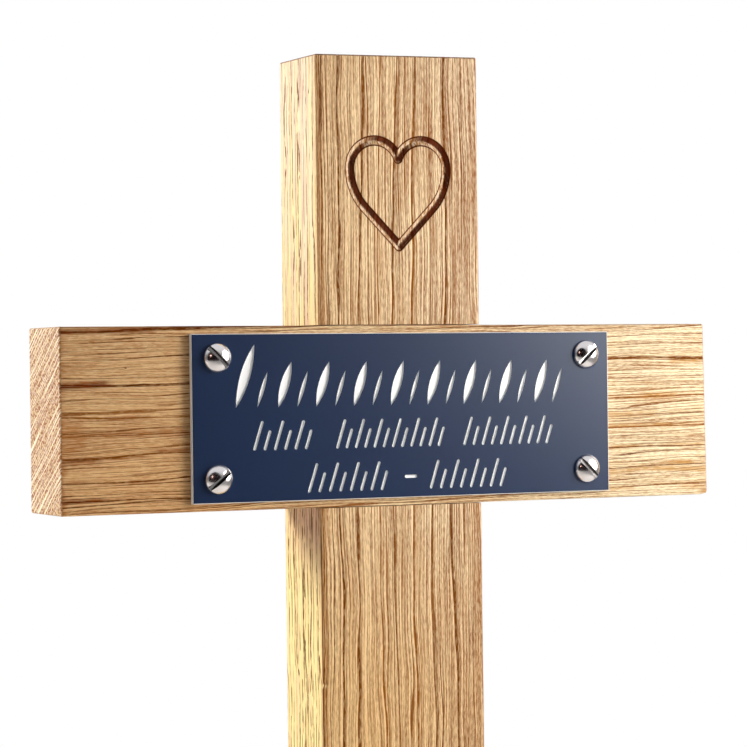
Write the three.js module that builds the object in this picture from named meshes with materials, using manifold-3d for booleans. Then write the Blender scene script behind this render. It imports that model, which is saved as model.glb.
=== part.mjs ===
// A pet memorial cross for setting in the ground: two oak boards halved together, a heart carved
// in the upper arm, and an engraved two-layer plaque that four slotted screws hold to the crossbar.
// Millimetres, +Z up, the front faces -Y, the origin is the middle of the post's foot at the ground.

import * as THREE from 'three';
import { mergeVertices } from 'three/addons/utils/BufferGeometryUtils.js';
import Module from 'manifold-3d';

// Boards: the post and the crossbar are cut from one section of planed oak.
const BOARD_WIDTH = 44;
const BOARD_THICKNESS = 21.5;
const EASED_EDGE = 0.5;
const CROSSBAR_LENGTH = 4 * BOARD_WIDTH;
const TOP_ARM = 1.5 * BOARD_WIDTH;
const LOWER_ARM = 190;
// The top and the crossbar's right-hand end are sawn this much out of square, end to end of the cut.
const SAW_LEAN = 0.7;
// Glue line of the halving joint.
const JOINT_GAP = 0.15;

// Heart: the middle line of a V-shaped groove, centred on the post.
const HEART_WIDTH = 26.3;
const HEART_HEIGHT = 25.8;
const HEART_TIP_ABOVE_CROSSBAR = 19.3;
const HEART_LOBE_RADIUS = 6.8;
const HEART_SIDE_ANGLE = THREE.MathUtils.degToRad(45.5);
const GROOVE_WIDTH = 2.5;
const GROOVE_DEPTH = 0.9;
const GROOVE_STEPS = 36;

// Plaque: it sits a millimetre to the right of the post's middle line.
const PLAQUE_WIDTH = 113.5;
const PLAQUE_HEIGHT = 40.2;
const PLAQUE_THICKNESS = 1.6;
const PLAQUE_CHAMFER = 0.25;
const PLAQUE_SHIFT = 1;
const ENGRAVING_DEPTH = 0.35;
const FINE_STROKE_CHAMFER = 0.2;
const STROKE_LEAN = THREE.MathUtils.degToRad(18);

// Screws: the spacing is from middle to middle.
const SCREW_SPACING_ACROSS = 100.5;
const SCREW_SPACING_UP = 28.8;
const HEAD_DIAMETER = 7.2;
const HEAD_HEIGHT = 2.3;
const SHANK_DIAMETER = 3.5;
const SHANK_LENGTH = 16;
const POINT_LENGTH = 3;
const SLOT_WIDTH = 1.2;
const SLOT_DEPTH = 1.4;
const SCREW_CLEARANCE = 0.3;
const ROUND_SIDES = 32;

// Places that follow from the sizes above.
const CROSSBAR_MIDDLE = LOWER_ARM + BOARD_WIDTH / 2;
const CROSSBAR_TOP = LOWER_ARM + BOARD_WIDTH;
const POST_TOP = CROSSBAR_TOP + TOP_ARM;
const FRONT = -BOARD_THICKNESS / 2;
const PLAQUE_FRONT = FRONT - PLAQUE_THICKNESS;
const OVERCUT = 5;

const oak = { color: 0xd9ae74, roughness: 0.55, metalness: 0 };
const paleOak = { color: 0xdfb67d, roughness: 0.55, metalness: 0 };
const navyLaminate = { color: 0x2a3a5c, roughness: 0.35, metalness: 0 };
const brightMetal = { color: 0xd4d2ce, roughness: 0.15, metalness: 1 };

const wasm = await Module();
wasm.setup();

// A closed geometry as a solid that can be joined and cut.
function solidFrom(geometry) {
  geometry.deleteAttribute('normal');
  geometry.deleteAttribute('uv');
  const welded = mergeVertices(geometry);
  const mesh = new wasm.Mesh({
    numProp: 3,
    vertProperties: welded.getAttribute('position').array,
    triVerts: new Uint32Array(welded.getIndex().array),
  });
  return new wasm.Manifold(mesh);
}

function geometryFrom(solid) {
  const { vertProperties, triVerts } = solid.getMesh();
  const geometry = new THREE.BufferGeometry();
  geometry.setAttribute('position', new THREE.BufferAttribute(vertProperties, 3));
  geometry.setIndex(new THREE.BufferAttribute(triVerts, 1));
  geometry.computeVertexNormals();
  return geometry;
}

// A box from its lowest to its highest corner.
function block(low, high) {
  const size = high.clone().sub(low);
  const middle = low.clone().add(high).multiplyScalar(0.5);
  const geometry = new THREE.BoxGeometry(size.x, size.y, size.z);
  return solidFrom(geometry.translate(middle.x, middle.y, middle.z));
}

// An outline drawn in the front view, X across and Z up, becomes a slab that reaches back from y.
// Its front and back edges are chamfered, or rounded where the chamfer has several segments.
function slab(outline, y, thickness, { chamfer = 0, chamferSegments = 1, curveSegments = 3 } = {}) {
  const geometry = new THREE.ExtrudeGeometry(outline, {
    depth: thickness - 2 * chamfer,
    bevelEnabled: chamfer > 0,
    bevelThickness: chamfer,
    bevelSize: chamfer,
    bevelOffset: -chamfer,
    bevelSegments: chamferSegments,
    curveSegments,
  });
  geometry.rotateX(Math.PI / 2);
  return solidFrom(geometry.translate(0, y + thickness - chamfer, 0));
}

// A closed outline through corners, each one rounded off over the given reach.
function roundedOutline(corners, reach) {
  const outline = new THREE.Shape();
  corners.forEach((corner, i) => {
    const before = corners[(i + corners.length - 1) % corners.length];
    const after = corners[(i + 1) % corners.length];
    const start = corner.clone().add(before.clone().sub(corner).setLength(reach));
    const end = corner.clone().add(after.clone().sub(corner).setLength(reach));
    if (i === 0) outline.moveTo(start.x, start.y);
    else outline.lineTo(start.x, start.y);
    outline.quadraticCurveTo(corner.x, corner.y, end.x, end.y);
  });
  outline.closePath();
  return outline;
}

// A planed board with its long edges and its ends lightly eased.
function board(corners) {
  const outline = roundedOutline(corners, 1.5 * EASED_EDGE);
  return slab(outline, FRONT, BOARD_THICKNESS, { chamfer: EASED_EDGE, chamferSegments: 2 });
}

// One side of the heart: a small arc over the lobe, a wide arc down the side, a straight to the tip.
class HalfHeart extends THREE.Curve {
  constructor(side) {
    super();
    const halfWidth = HEART_WIDTH / 2;
    const tip = CROSSBAR_TOP + HEART_TIP_ABOVE_CROSSBAR;
    const lobeX = halfWidth - HEART_LOBE_RADIUS;
    const lobeZ = tip + HEART_HEIGHT - HEART_LOBE_RADIUS;
    const slope = { sin: Math.sin(HEART_SIDE_ANGLE), cos: Math.cos(HEART_SIDE_ANGLE) };
    const sideRadius = ((lobeZ - tip) * slope.cos - halfWidth * slope.sin) / (1 - slope.sin);
    const cleft = Math.acos(-lobeX / HEART_LOBE_RADIUS);
    this.side = side;
    this.line = new THREE.Path();
    this.line.absarc(lobeX, lobeZ, HEART_LOBE_RADIUS, cleft, 0, true);
    this.line.absarc(halfWidth - sideRadius, lobeZ, sideRadius, 0, HEART_SIDE_ANGLE - Math.PI / 2, true);
    this.line.lineTo(0, tip);
  }

  getPoint(t, target = new THREE.Vector3()) {
    const point = this.line.getPoint(t);
    return target.set(this.side * point.x, FRONT, point.y);
  }
}

// The V cutter carried along both sides of the heart, with its own cone left at the cleft and the tip.
function heartCutter() {
  const section = new THREE.Shape();
  section.moveTo(GROOVE_DEPTH, 0);
  section.lineTo(0, GROOVE_WIDTH / 2);
  section.lineTo(-GROOVE_DEPTH, 0);
  section.lineTo(0, -GROOVE_WIDTH / 2);
  section.closePath();
  const right = new HalfHeart(1);
  const left = new HalfHeart(-1);
  const sides = [right, left].map((extrudePath) =>
    solidFrom(new THREE.ExtrudeGeometry(section, { steps: GROOVE_STEPS, extrudePath })));
  const cones = [right.getPoint(0), right.getPoint(1)].map((point) => {
    const cone = new THREE.ConeGeometry(GROOVE_WIDTH / 2, GROOVE_DEPTH, ROUND_SIDES / 2);
    cone.translate(point.x, point.y + GROOVE_DEPTH / 2, point.z);
    return solidFrom(cone);
  });
  return [...sides, ...cones].reduce((whole, piece) => whole.add(piece));
}

function upright() {
  const half = BOARD_WIDTH / 2;
  const uncut = board([
    new THREE.Vector2(-half, -OVERCUT),
    new THREE.Vector2(half, -OVERCUT),
    new THREE.Vector2(half, POST_TOP + SAW_LEAN / 2),
    new THREE.Vector2(-half, POST_TOP - SAW_LEAN / 2),
  ]);
  const ground = block(
    new THREE.Vector3(-BOARD_WIDTH, -BOARD_WIDTH, -2 * OVERCUT),
    new THREE.Vector3(BOARD_WIDTH, BOARD_WIDTH, 0),
  );
  const notch = block(
    new THREE.Vector3(-BOARD_WIDTH, -BOARD_WIDTH, LOWER_ARM - JOINT_GAP),
    new THREE.Vector3(BOARD_WIDTH, JOINT_GAP / 2, CROSSBAR_TOP + JOINT_GAP),
  );
  return geometryFrom(uncut.subtract(ground).subtract(notch).subtract(heartCutter()));
}

// Middles of the four screws in the front view.
const screwPlaces = [
  { name: 'screw_upper_left', across: -1, up: 1, slotDegrees: -45 },
  { name: 'screw_upper_right', across: 1, up: 1, slotDegrees: 43.5 },
  { name: 'screw_lower_left', across: -1, up: -1, slotDegrees: 39 },
  { name: 'screw_lower_right', across: 1, up: -1, slotDegrees: -45 },
].map(({ name, across, up, slotDegrees }) => ({
  name,
  x: PLAQUE_SHIFT + (across * SCREW_SPACING_ACROSS) / 2,
  z: CROSSBAR_MIDDLE + (up * SCREW_SPACING_UP) / 2,
  slotAngle: THREE.MathUtils.degToRad(slotDegrees),
}));

// A round hole from the front at y, running back.
function screwHole(place, y, depth) {
  const radius = SHANK_DIAMETER / 2 + SCREW_CLEARANCE;
  const hole = new THREE.CylinderGeometry(radius, radius, depth, ROUND_SIDES / 2);
  return solidFrom(hole.translate(place.x, y + depth / 2, place.z));
}

function crossbar() {
  const half = CROSSBAR_LENGTH / 2;
  const uncut = board([
    new THREE.Vector2(-half, LOWER_ARM),
    new THREE.Vector2(half, LOWER_ARM),
    new THREE.Vector2(half - SAW_LEAN, CROSSBAR_TOP),
    new THREE.Vector2(-half, CROSSBAR_TOP),
  ]);
  const notchHalf = BOARD_WIDTH / 2 + JOINT_GAP;
  const notch = block(
    new THREE.Vector3(-notchHalf, -JOINT_GAP / 2, LOWER_ARM - OVERCUT),
    new THREE.Vector3(notchHalf, BOARD_WIDTH, CROSSBAR_TOP + OVERCUT),
  );
  const pilots = screwPlaces.map((place) =>
    screwHole(place, FRONT - OVERCUT, OVERCUT + SHANK_LENGTH - PLAQUE_THICKNESS + SCREW_CLEARANCE));
  return geometryFrom(pilots.reduce((bar, pilot) => bar.subtract(pilot), uncut.subtract(notch)));
}

// A stroke that starts at x on its row's foot and leans to the right: a leaf that narrows to both
// ends, or an even line with round ends as a plain cutter leaves it.
function strokeOutline({ x, foot, rise, width, leaf, lean = STROKE_LEAN }) {
  const along = new THREE.Vector2(Math.sin(lean), Math.cos(lean));
  const aside = new THREE.Vector2(along.y, -along.x);
  const base = new THREE.Vector2(x, CROSSBAR_MIDDLE + foot);
  const top = base.clone().addScaledVector(along, rise);
  const outline = new THREE.Shape();
  if (leaf) {
    const belly = base.clone().lerp(top, 0.5);
    const right = belly.clone().addScaledVector(aside, width);
    const left = belly.clone().addScaledVector(aside, -width);
    outline.moveTo(base.x, base.y);
    outline.quadraticCurveTo(right.x, right.y, top.x, top.y);
    outline.quadraticCurveTo(left.x, left.y, base.x, base.y);
  } else {
    const turn = aside.angle();
    outline.absarc(base.x, base.y, width / 2, turn + Math.PI, turn + 2 * Math.PI, false);
    outline.absarc(top.x, top.y, width / 2, turn, turn + Math.PI, false);
    outline.closePath();
  }
  return outline;
}

// One group of a row: pairs of a long and a short stroke, spread evenly from one end to the other.
function strokePairs({ from, to, pairs, foot, long, short }) {
  const pitch = (to - from) / pairs;
  return Array.from({ length: pairs }, (_, i) => from + i * pitch).flatMap((x) => [
    { x, foot, ...long },
    { x: x + pitch / 2, foot, ...short },
  ]);
}

// The upper row has broad and slim leaves in turn, taller at its start.
function leafStrokes() {
  const row = { foot: 2.4, short: { rise: 9.2, width: 1, leaf: true } };
  return [
    ...strokePairs({ ...row, from: -44.5, to: -33.5, pairs: 1, long: { rise: 16, width: 2.6, leaf: true } }),
    ...strokePairs({ ...row, from: -33.5, to: 46.5, pairs: 8, long: { rise: 11.5, width: 2.3, leaf: true } }),
  ];
}

// The two rows below have even strokes in groups, with one short level stroke between the last two.
function fineStrokes() {
  const pair = { long: { rise: 6.6, width: 0.75 }, short: { rise: 4.2, width: 0.75 } };
  const middle = { ...pair, foot: -7.4 };
  const lower = { ...pair, foot: -17.8 };
  return [
    ...strokePairs({ ...middle, from: -39.8, to: -23.6, pairs: 3 }),
    ...strokePairs({ ...middle, from: -18, to: 12, pairs: 6 }),
    ...strokePairs({ ...middle, from: 16.6, to: 42.4, pairs: 5 }),
    ...strokePairs({ ...lower, from: -25.6, to: -3.4, pairs: 4 }),
    ...strokePairs({ ...lower, from: 7.2, to: 29.4, pairs: 4 }),
    { x: 0.4, foot: -15, rise: 2.6, width: 0.75, lean: Math.PI / 2 },
  ];
}

function plaque() {
  const half = new THREE.Vector2(PLAQUE_WIDTH / 2, PLAQUE_HEIGHT / 2);
  const outline = new THREE.Shape();
  outline.moveTo(PLAQUE_SHIFT - half.x, CROSSBAR_MIDDLE - half.y);
  outline.lineTo(PLAQUE_SHIFT + half.x, CROSSBAR_MIDDLE - half.y);
  outline.lineTo(PLAQUE_SHIFT + half.x, CROSSBAR_MIDDLE + half.y);
  outline.lineTo(PLAQUE_SHIFT - half.x, CROSSBAR_MIDDLE + half.y);
  outline.closePath();
  const plate = slab(outline, PLAQUE_FRONT, PLAQUE_THICKNESS, { chamfer: PLAQUE_CHAMFER });
  const holes = screwPlaces.map((place) =>
    screwHole(place, PLAQUE_FRONT - OVERCUT, PLAQUE_THICKNESS + 2 * OVERCUT));
  const cutters = (strokes, finish) => strokes.map((stroke) =>
    slab(strokeOutline(stroke), PLAQUE_FRONT - OVERCUT, OVERCUT + ENGRAVING_DEPTH, finish));
  const leaves = cutters(leafStrokes(), { curveSegments: 8 });
  const lines = cutters(fineStrokes(), { chamfer: FINE_STROKE_CHAMFER });
  return geometryFrom([...holes, ...leaves, ...lines].reduce((cut, cutter) => cut.subtract(cutter), plate));
}

// One screw standing upright with its seat at the origin: a dome on a shank, slotted right across.
function screw() {
  const shank = SHANK_DIAMETER / 2;
  const profile = [
    new THREE.Vector2(0, -SHANK_LENGTH),
    new THREE.Vector2(shank, POINT_LENGTH - SHANK_LENGTH),
    new THREE.Vector2(shank, 0),
  ];
  const domeSteps = 8;
  for (let i = 0; i <= domeSteps; i += 1) {
    const angle = (i / domeSteps) * (Math.PI / 2);
    const radius = i === domeSteps ? 0 : (HEAD_DIAMETER / 2) * Math.cos(angle);
    profile.push(new THREE.Vector2(radius, HEAD_HEIGHT * Math.sin(angle)));
  }
  const whole = solidFrom(new THREE.LatheGeometry(profile, ROUND_SIDES));
  const slot = block(
    new THREE.Vector3(-HEAD_DIAMETER, HEAD_HEIGHT - SLOT_DEPTH, -SLOT_WIDTH / 2),
    new THREE.Vector3(HEAD_DIAMETER, HEAD_HEIGHT + OVERCUT, SLOT_WIDTH / 2),
  );
  return geometryFrom(whole.subtract(slot));
}

function addPiece(group, name, geometry, finish) {
  const mesh = new THREE.Mesh(geometry, new THREE.MeshStandardMaterial(finish));
  mesh.name = name;
  group.add(mesh);
  return mesh;
}

const cross = new THREE.Group();
addPiece(cross, 'upright_post', upright(), oak);
addPiece(cross, 'crossbar', crossbar(), paleOak);
addPiece(cross, 'plaque', plaque(), navyLaminate);

// A seat turns each screw's head to the front, and the screw then turns in it to its own slot angle.
for (const place of screwPlaces) {
  const seat = new THREE.Group();
  seat.position.set(place.x, PLAQUE_FRONT, place.z);
  seat.rotation.x = Math.PI;
  cross.add(seat);
  addPiece(seat, place.name, screw(), brightMetal).rotation.y = place.slotAngle;
}

export default cross;
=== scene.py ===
import math
from functools import partial

import bmesh
import bpy
import numpy as np
from mathutils import Matrix, Vector


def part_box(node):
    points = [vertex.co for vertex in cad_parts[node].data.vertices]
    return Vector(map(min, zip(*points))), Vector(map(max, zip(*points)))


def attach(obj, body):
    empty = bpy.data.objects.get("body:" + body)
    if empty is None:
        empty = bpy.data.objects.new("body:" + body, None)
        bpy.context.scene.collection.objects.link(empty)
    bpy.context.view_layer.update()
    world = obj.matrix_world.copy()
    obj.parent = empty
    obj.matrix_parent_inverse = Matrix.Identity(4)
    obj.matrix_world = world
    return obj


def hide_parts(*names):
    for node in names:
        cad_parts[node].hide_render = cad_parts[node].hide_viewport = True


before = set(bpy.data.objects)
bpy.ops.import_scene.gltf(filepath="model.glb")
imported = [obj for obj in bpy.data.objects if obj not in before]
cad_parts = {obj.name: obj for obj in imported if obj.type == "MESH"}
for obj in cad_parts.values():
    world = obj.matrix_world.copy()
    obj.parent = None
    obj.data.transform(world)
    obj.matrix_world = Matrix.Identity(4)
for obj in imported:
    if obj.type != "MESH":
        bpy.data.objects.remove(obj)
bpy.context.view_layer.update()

# Camera: a long lens about 0.7 m from the cross, round to the left of its front and level with the
# crossbar, leaning by less than a degree.
MM = 0.001
LENS_MM = 134.965
SENSOR_MM = 36
CAMERA_DISTANCE = 682.28 * MM
CAMERA_ROUND = math.radians(25.756)
CAMERA_TILT = math.radians(-0.02)
CAMERA_LEAN = math.radians(-0.716)
AIM_LEFT_OF_MIDDLE = 7.4 * MM
AIM_ABOVE_BAR_MIDDLE = 10.24 * MM

bar_low, bar_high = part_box("crossbar")
bar_middle = (bar_low + bar_high) / 2
aim = Vector((-AIM_LEFT_OF_MIDDLE, bar_low.y, bar_middle.z + AIM_ABOVE_BAR_MIDDLE))
facing = (
    Matrix.Rotation(-CAMERA_ROUND, 4, "Z")
    @ Matrix.Rotation(math.pi / 2 + CAMERA_TILT, 4, "X")
    @ Matrix.Rotation(CAMERA_LEAN, 4, "Z")
)
camera = bpy.data.objects.new("camera", bpy.data.cameras.new("camera"))
camera.data.sensor_width = SENSOR_MM
camera.data.lens = LENS_MM
camera.matrix_world = Matrix.Translation(aim) @ facing @ Matrix.Translation((0, 0, CAMERA_DISTANCE))
bpy.context.scene.collection.objects.link(camera)
bpy.context.scene.camera = camera
bpy.context.scene.view_settings.view_transform = "Standard"


# Studio: a pale paper floor that runs out into white, a large soft box at the front right, a second one
# at the left and a little behind, and a bright sweep behind. A dark panel round the camera and a small
# bright window in front of it are seen only in shiny surfaces.
def linear(hex_colour):
    """The linear red, green, blue and alpha of an sRGB colour written as six hex digits."""
    code = np.array([int(hex_colour[i:i + 2], 16) for i in (0, 2, 4)]) / 255
    light = np.where(code <= 0.04045, code / 12.92, ((code + 0.055) / 1.055) ** 2.4)
    return (*light.tolist(), 1.0)


def add_node(tree, kind, inputs=(), output=None, **settings):
    """Adds a node with its settings and gives the socket of its result. The inputs are a dict by socket
    name, or just values for the sockets in use, in order. A value that is itself a socket is linked."""
    node = tree.nodes.new("ShaderNode" + kind)
    for name, value in settings.items():
        setattr(node, name, value)
    in_use = [s for s in node.inputs if s.enabled]
    places = inputs if isinstance(inputs, dict) else dict(enumerate(inputs))
    for place, value in places.items():
        socket = in_use[place] if isinstance(place, int) else next(s for s in in_use if s.name == place)
        if isinstance(value, bpy.types.NodeSocket):
            tree.links.new(value, socket)
        else:
            socket.default_value = value
    results = [s for s in node.outputs if s.enabled and output in (None, s.name)]
    return results[0] if results else node


def new_material(name):
    """An empty node material, and its tree."""
    material = bpy.data.materials.new(name)
    material.use_nodes = True
    material.node_tree.nodes.clear()
    return material, material.node_tree


def mesh_object(name, points, quads, material, **attributes):
    """An object from points in metres, four corners a face, with one number or three for each point."""
    mesh = bpy.data.meshes.new(name)
    mesh.vertices.add(len(points))
    mesh.vertices.foreach_set("co", np.asarray(points, np.float32).ravel())
    mesh.loops.add(quads.size)
    mesh.loops.foreach_set("vertex_index", quads.astype(np.int32).ravel())
    mesh.polygons.add(len(quads))
    mesh.polygons.foreach_set("loop_start", np.arange(0, quads.size, 4, dtype=np.int32))
    mesh.update(calc_edges=True)
    for field, values in attributes.items():
        kind, item = ("FLOAT", "value") if values.ndim == 1 else ("FLOAT_VECTOR", "vector")
        layer = mesh.attributes.new(field, kind, "POINT")
        layer.data.foreach_set(item, values.astype(np.float32).ravel())
    mesh.validate()
    mesh.materials.append(material)
    made = bpy.data.objects.new(name, mesh)
    bpy.context.scene.collection.objects.link(made)
    return made


def grid_quads(rows, columns):
    """The four corner numbers of every cell of a grid of points, row by row."""
    corner = np.arange(rows * columns).reshape(rows, columns)
    cells = (corner[:-1, :-1], corner[:-1, 1:], corner[1:, 1:], corner[1:, :-1])
    return np.stack(cells, -1).reshape(-1, 4)


FLOOR_REACH = 8.0
FLOOR_STEPS = 17
FLOOR_PALE_TO = 0.10
FLOOR_WHITE_FROM = 0.50
SWEEP_FRONT = 0.07
SWEEP_BEHIND = 0.85
BACK_TURNS = (0.0, 0.7)
TENT_TURNS = (0.2, 0.7)
TENT_IN_MIRRORS = (0.24, 0.90)

# Matt rolled paper: an even pale white with no gloss, which passes into the white round it.
white_floor, tree = new_material("studio_paper")
place = add_node(tree, "TexCoord", output="Object")
reach = add_node(tree, "VectorMath", (place,), output="Value", operation="LENGTH")
white_share = add_node(tree, "MapRange", (
    reach, FLOOR_PALE_TO, FLOOR_WHITE_FROM,
), interpolation_type="SMOOTHSTEP")
straight = add_node(tree, "LightPath", output="Is Camera Ray")
white_seen = add_node(tree, "Math", (white_share, straight), operation="MULTIPLY")
paper = add_node(tree, "BsdfDiffuse", {"Color": linear("e9e8e6")})
glow = add_node(tree, "Emission", {"Color": linear("ffffff"), "Strength": 1.0})
paper_to_white = add_node(tree, "MixShader", (white_seen, paper, glow))
add_node(tree, "OutputMaterial", {"Surface": paper_to_white})

side = np.linspace(-FLOOR_REACH, FLOOR_REACH, FLOOR_STEPS)
floor_x, floor_y = (part.ravel() for part in np.meshgrid(side, side))
floor_points = np.stack([floor_x, floor_y, np.zeros_like(floor_x)], -1)
floor = mesh_object("floor", floor_points, grid_quads(len(side), len(side)), white_floor)

world = bpy.data.worlds.new("white_sweep")
world.use_nodes = True
world.node_tree.nodes.clear()
tree = world.node_tree
bpy.context.scene.world = world
direction = add_node(tree, "TexCoord", output="Generated")
towards_back = add_node(tree, "SeparateXYZ", (direction,), output="Y")
upwards = add_node(tree, "SeparateXYZ", (direction,), output="Z")
off_level = add_node(tree, "Math", (upwards,), operation="ABSOLUTE")
tent_seen = add_node(tree, "MapRange", (off_level, *TENT_TURNS, *TENT_IN_MIRRORS))
mirrored = add_node(tree, "LightPath", output="Is Glossy Ray")
tent = add_node(tree, "MapRange", {"Value": mirrored, "To Min": SWEEP_FRONT, "To Max": tent_seen})
sweep = add_node(tree, "MapRange", (
    towards_back, *BACK_TURNS, tent, SWEEP_BEHIND,
), interpolation_type="SMOOTHSTEP")
seen = add_node(tree, "Background", {"Color": linear("ffffff"), "Strength": 1.0})
lit = add_node(tree, "Background", {"Color": linear("ffffff"), "Strength": sweep})
straight = add_node(tree, "LightPath", output="Is Camera Ray")
shown = add_node(tree, "MixShader", (straight, lit, seen))
add_node(tree, "OutputWorld", {"Surface": shown})


def towards(round_right, height, distance):
    """The point so far from the crossbar's middle, at degrees to the right of its front and above it."""
    across, up = math.radians(round_right), math.radians(height)
    step = Vector((math.sin(across) * math.cos(up), -math.cos(across) * math.cos(up), math.sin(up)))
    return bar_middle + step * distance


CLOTH_MIDDLE = (0.5, 0.5, 0)
CLOTH_FADE = (0.1, 0.5)


def soft_box(name, round_right, height, distance, width, tall, watts, colour):
    """A cloth-fronted light that faces the crossbar's middle, brightest in its own middle, and isn't seen
    itself."""
    light = bpy.data.lights.new(name, "AREA")
    light.shape = "RECTANGLE"
    light.size = width
    light.size_y = tall
    light.energy = watts
    light.color = linear(colour)[:3]
    light.use_nodes = True
    tree = light.node_tree
    tree.nodes.clear()
    place = add_node(tree, "NewGeometry", output="Parametric")
    reach = add_node(tree, "VectorMath", (place, CLOTH_MIDDLE), output="Value", operation="DISTANCE")
    cloth = add_node(tree, "MapRange", (reach, *CLOTH_FADE, 1.0, 0.0), interpolation_type="SMOOTHSTEP")
    glow = add_node(tree, "Emission", {"Strength": cloth})
    add_node(tree, "OutputLight", {"Surface": glow})
    lamp = bpy.data.objects.new(name, light)
    lamp.location = towards(round_right, height, distance)
    lamp.rotation_mode = "QUATERNION"
    lamp.rotation_quaternion = (bar_middle - lamp.location).to_track_quat("-Z", "Y")
    lamp.visible_camera = False
    bpy.context.scene.collection.objects.link(lamp)


soft_box(
    "key_soft_box", round_right=53, height=14, distance=0.35, width=0.36, tall=0.34, watts=6.2,
    colour="fffaf2",
)
soft_box(
    "left_soft_box", round_right=-108, height=15, distance=0.85, width=0.40, tall=0.30, watts=22.0,
    colour="fff8ec",
)

PANEL_RADIUS = 0.66
PANEL_DISTANCE = 0.76
PANEL_DIRECTION = (-26, 1)
WINDOW_RADIUS = 0.045
WINDOW_DISTANCE = 0.72
WINDOW_DIRECTION = (-37, 14)
CARD_STEPS = (33, 6)


def round_card(name, direction, distance, radius, material):
    """A flat disc that faces the crossbar's middle: rings of points out to its radius. It shows only in
    mirrors."""
    middle = towards(*direction, distance)
    normal = (bar_middle - middle).normalized()
    across = normal.cross(Vector((0, 0, 1))).normalized()
    turn, out = np.meshgrid(np.linspace(0, 2 * np.pi, CARD_STEPS[0]), np.linspace(0, radius, CARD_STEPS[1]))
    flat = np.stack([out * np.cos(turn), out * np.sin(turn)], -1).reshape(-1, 2)
    card_points = flat @ np.array([across, across.cross(normal)]) + np.array(middle)
    card = mesh_object(name, card_points, grid_quads(*turn.shape), material)
    card.visible_camera = False
    card.visible_diffuse = False
    card.visible_shadow = False


# Dull woven cloth, which gives the screws their dark spot.
dark_cloth, tree = new_material("dark_cloth")
cloth = add_node(tree, "BsdfDiffuse", {"Color": linear("16090b")})
add_node(tree, "OutputMaterial", {"Surface": cloth})
round_card("dark_panel", PANEL_DIRECTION, PANEL_DISTANCE, PANEL_RADIUS, dark_cloth)

# A glowing pane, which gives that spot its small pink light.
bright_window, tree = new_material("bright_window")
glow = add_node(tree, "Emission", {"Color": linear("ffd2c4"), "Strength": 5.0})
add_node(tree, "OutputMaterial", {"Surface": glow})
round_card("bright_window", WINDOW_DIRECTION, WINDOW_DISTANCE, WINDOW_RADIUS, bright_window)


# Upright post: one planed oak board with lightly eased arrises, its grain running up. It is notched in
# front for the crossbar, and a V cutter has carved a heart in its upper arm and left the cut browned, with
# painted shade darkening the cut's wall that is turned from the key light.
POST_WIDTH = 44.0
BOARD_THICKNESS = 21.5
EASED_EDGE = 0.5
TOP_LEAN = 0.7
JOINT_GAP = 0.15
HEART_WIDTH = 26.3
HEART_HEIGHT = 25.8
HEART_TIP_ABOVE_CROSSBAR = 19.3
HEART_LOBE_RADIUS = 6.8
HEART_SIDE_ANGLE = math.radians(45.5)
GROOVE_WIDTH = 2.5
GROOVE_DEPTH = 0.9
FRONT = -BOARD_THICKNESS / 2
BAR_BOTTOM = round(bar_low.z / MM, 3)
BAR_TOP = round(bar_high.z / MM, 3)
POST_TOP = round(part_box("upright_post")[1].z / MM - TOP_LEAN / 2, 1)
HALF_POST = POST_WIDTH / 2


def planes(low, high, step, *finer, sharp_low=False):
    """Places to cut a board across, in order: even steps, finer ones over the given stretches, and three
    close to each arris, where the easing bends them into a quarter round."""
    arris = EASED_EDGE * (1 - np.tan(np.radians([45, 30, 15])))
    first = low if sharp_low else low + EASED_EDGE
    marks = sorted({first, high - EASED_EDGE, *(end for start, stop, _ in finer for end in (start, stop))})
    cuts = [high - arris] if sharp_low else [low + arris, high - arris]
    for start, stop in zip(marks, marks[1:]):
        pitch = min([fine for a, b, fine in finer if a <= start and stop <= b], default=step)
        cuts.append(np.linspace(start, stop, math.ceil((stop - start) / pitch) + 1))
    return np.unique(np.concatenate(cuts).round(4))


def board_skin(x_cuts, y_cuts, z_cuts, is_wood):
    """Points and outward quads of a board: planes cut its block into cells, cells that is_wood refuses are
    taken away, and each cell side between wood and air becomes a quad."""
    cuts = (x_cuts, y_cuts, z_cuts)
    middles = np.meshgrid(*[(c[:-1] + c[1:]) / 2 for c in cuts], indexing="ij")
    wood = is_wood(*middles).astype(int)
    lattice = np.stack(np.meshgrid(*cuts, indexing="ij"), -1)
    corner = np.arange(lattice[..., 0].size).reshape(lattice.shape[:3])
    quads = []
    for axis in range(3):
        order = np.roll((0, 1, 2), -axis)
        change = np.diff(np.pad(wood.transpose(order), ((1, 1), (0, 0), (0, 0))), axis=0)
        c = corner.transpose(order)
        loop = np.stack([c[:, :-1, :-1], c[:, 1:, :-1], c[:, 1:, 1:], c[:, :-1, 1:]], -1)
        quads += [loop[change == -1], loop[change == 1][:, ::-1]]
    used, quads = np.unique(np.concatenate(quads), return_inverse=True)
    return lattice.reshape(-1, 3)[used], quads.reshape(-1, 4)


def eased(points, low, high, radius):
    """Rounds a block's arrises: the step from a box one radius smaller out to a point is shortened from a
    square's reach to a circle's. Gives the new points and the way out of the surface."""
    inner = np.clip(points, low + radius, high - radius)
    step = points - inner
    length = np.linalg.norm(step, axis=1, keepdims=True)
    reach = np.abs(step).max(1, keepdims=True)
    unit = step / np.maximum(length, 1e-9)
    return inner + unit * reach, unit * (reach > 0.999 * radius)


def waves(seed, *lengths_and_places):
    """Slow wandering between about -1 and 1: five sines whose waves are near the given lengths along each
    of the given places, with directions and starts from a seeded draw."""
    draw = np.random.default_rng(seed)
    total = 0
    for _ in range(5):
        angle = draw.uniform(0, 2 * np.pi)
        for length, along in lengths_and_places:
            angle = angle + along * 2 * np.pi / length * draw.uniform(0.6, 1.5) * draw.choice([-1, 1])
        total = total + np.sin(angle) / 2.5
    return total


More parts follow.
